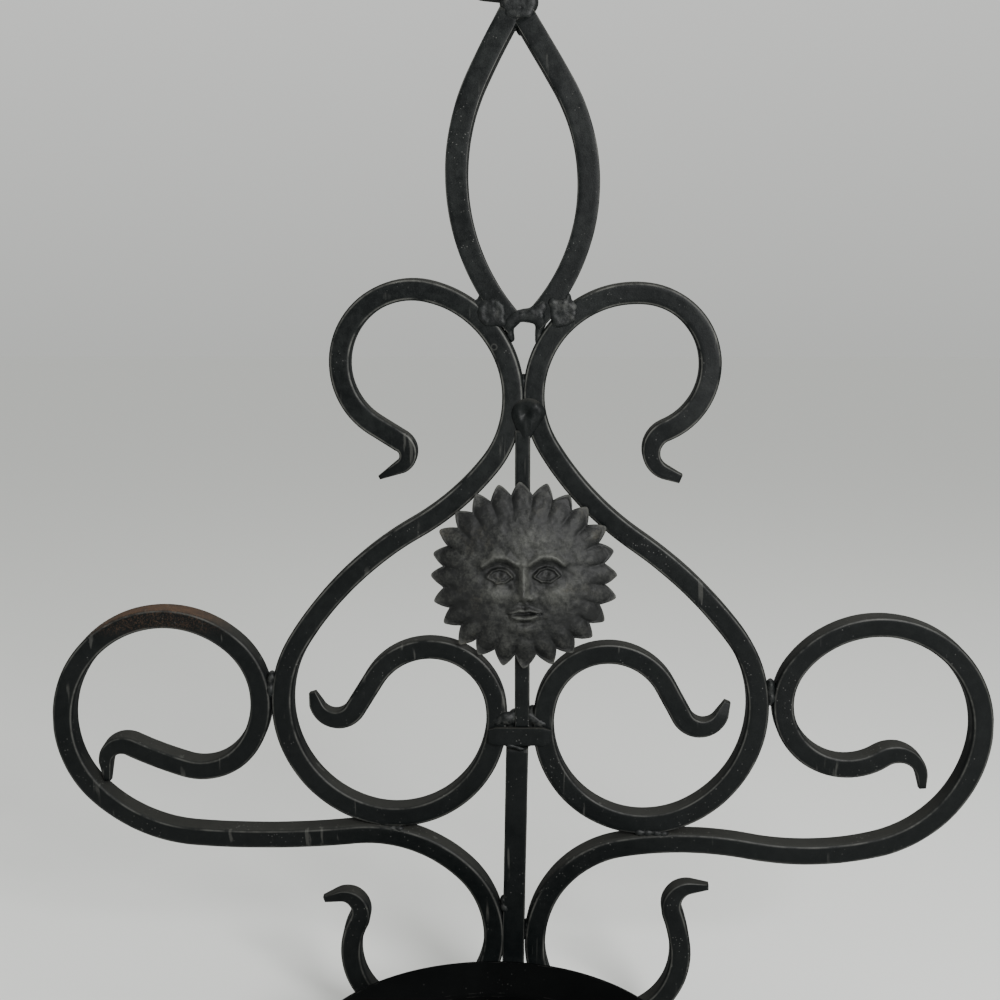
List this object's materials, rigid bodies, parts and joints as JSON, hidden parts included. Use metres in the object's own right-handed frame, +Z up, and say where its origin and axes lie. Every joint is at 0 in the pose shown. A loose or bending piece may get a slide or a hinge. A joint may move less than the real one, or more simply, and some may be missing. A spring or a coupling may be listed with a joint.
{
  "type": "candle wall sconce",
  "caption": "Scrolled wrought-iron wall sconce with a rayed sun face and a round drip pan with a candle spike.",
  "frame": {"origin": "centre of the hanging eye's hole, on the wall plane", "axes": "+X to the viewer's right, +Y into the wall, +Z up"},
  "size_m": [0.3837, 0.1508, 0.4372],
  "materials": {
    "black_iron": "satin black over hammered iron",
    "aged_sun_metal": "worn graphite grey",
    "weld_metal": "rough, black painted"
  },
  "bodies": {
    "root": {"hanging_eye": "black_iron", "left_curl": "black_iron", "right_curl": "black_iron", "left_lens_bar": "black_iron", "right_lens_bar": "black_iron", "left_main_scroll": "black_iron", "right_main_scroll": "black_iron", "left_outer_scroll": "black_iron", "right_outer_scroll": "black_iron", "sun_rod": "black_iron", "sun_face": "aged_sun_metal", "cross_strap": "black_iron", "stem": "black_iron", "drip_pan": "black_iron", "candle_spike": "black_iron", "apex_weld": "weld_metal", "left_lens_weld": "weld_metal", "right_lens_weld": "weld_metal", "bridge_weld": "weld_metal", "crotch_weld": "weld_metal", "middle_weld": "weld_metal", "left_ring_weld": "weld_metal", "right_ring_weld": "weld_metal", "left_foot_weld": "weld_metal", "right_foot_weld": "weld_metal", "left_stem_weld": "weld_metal", "right_stem_weld": "weld_metal"}
  },
  "joints": []
}
